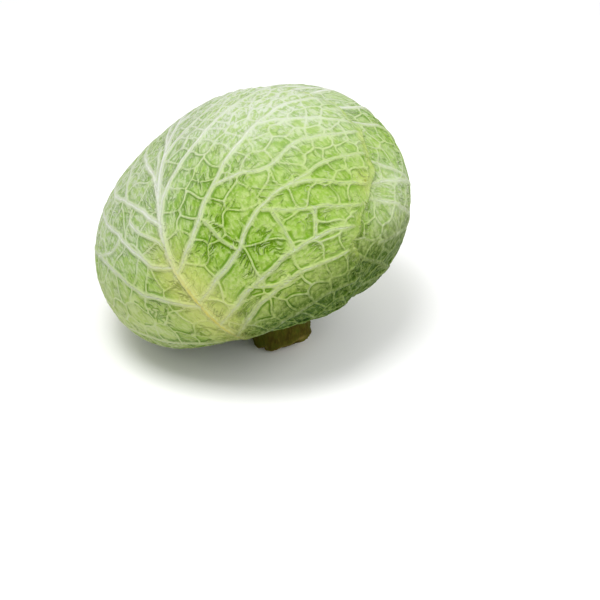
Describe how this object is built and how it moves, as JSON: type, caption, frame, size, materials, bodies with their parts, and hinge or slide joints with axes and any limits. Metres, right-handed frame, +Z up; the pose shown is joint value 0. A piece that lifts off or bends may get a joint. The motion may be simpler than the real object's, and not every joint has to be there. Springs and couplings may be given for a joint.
{
  "type": "savoy cabbage",
  "caption": "Whole savoy cabbage head of crinkled, veined green leaves wrapped over each other, resting on its cut stump and one cheek.",
  "frame": {"origin": "on the floor, under the middle of the head's bounding box", "axes": "+Z up, the cut face of the stump lies level in the plane z = 0, +X towards the side of the head that leans up, -Y towards the front where the outermost leaf's midrib rises"},
  "size_m": [0.1915, 0.2005, 0.1557],
  "materials": {
    "leaf_outer": "crinkled fresh green leaf with pale raised veins and a thin waxy bloom",
    "leaf_wrapper": "crinkled lighter green leaf with pale raised veins",
    "leaf_inner": "crinkled pale yellow green leaf",
    "heart": "packed pale yellow young leaves",
    "stem": "olive brown stump with darker leaf scars, pale and woody on the cut face"
  },
  "bodies": {
    "root": {"outer_leaf_1": "leaf_outer", "outer_leaf_2": "leaf_outer", "outer_leaf_3": "leaf_outer", "wrapper_leaf_4": "leaf_wrapper", "wrapper_leaf_5": "leaf_wrapper", "wrapper_leaf_6": "leaf_wrapper", "wrapper_leaf_7": "leaf_wrapper", "inner_leaf_8": "leaf_inner", "inner_leaf_9": "leaf_inner", "inner_leaf_10": "leaf_inner", "heart": "heart", "stem": "stem"}
  },
  "joints": []
}
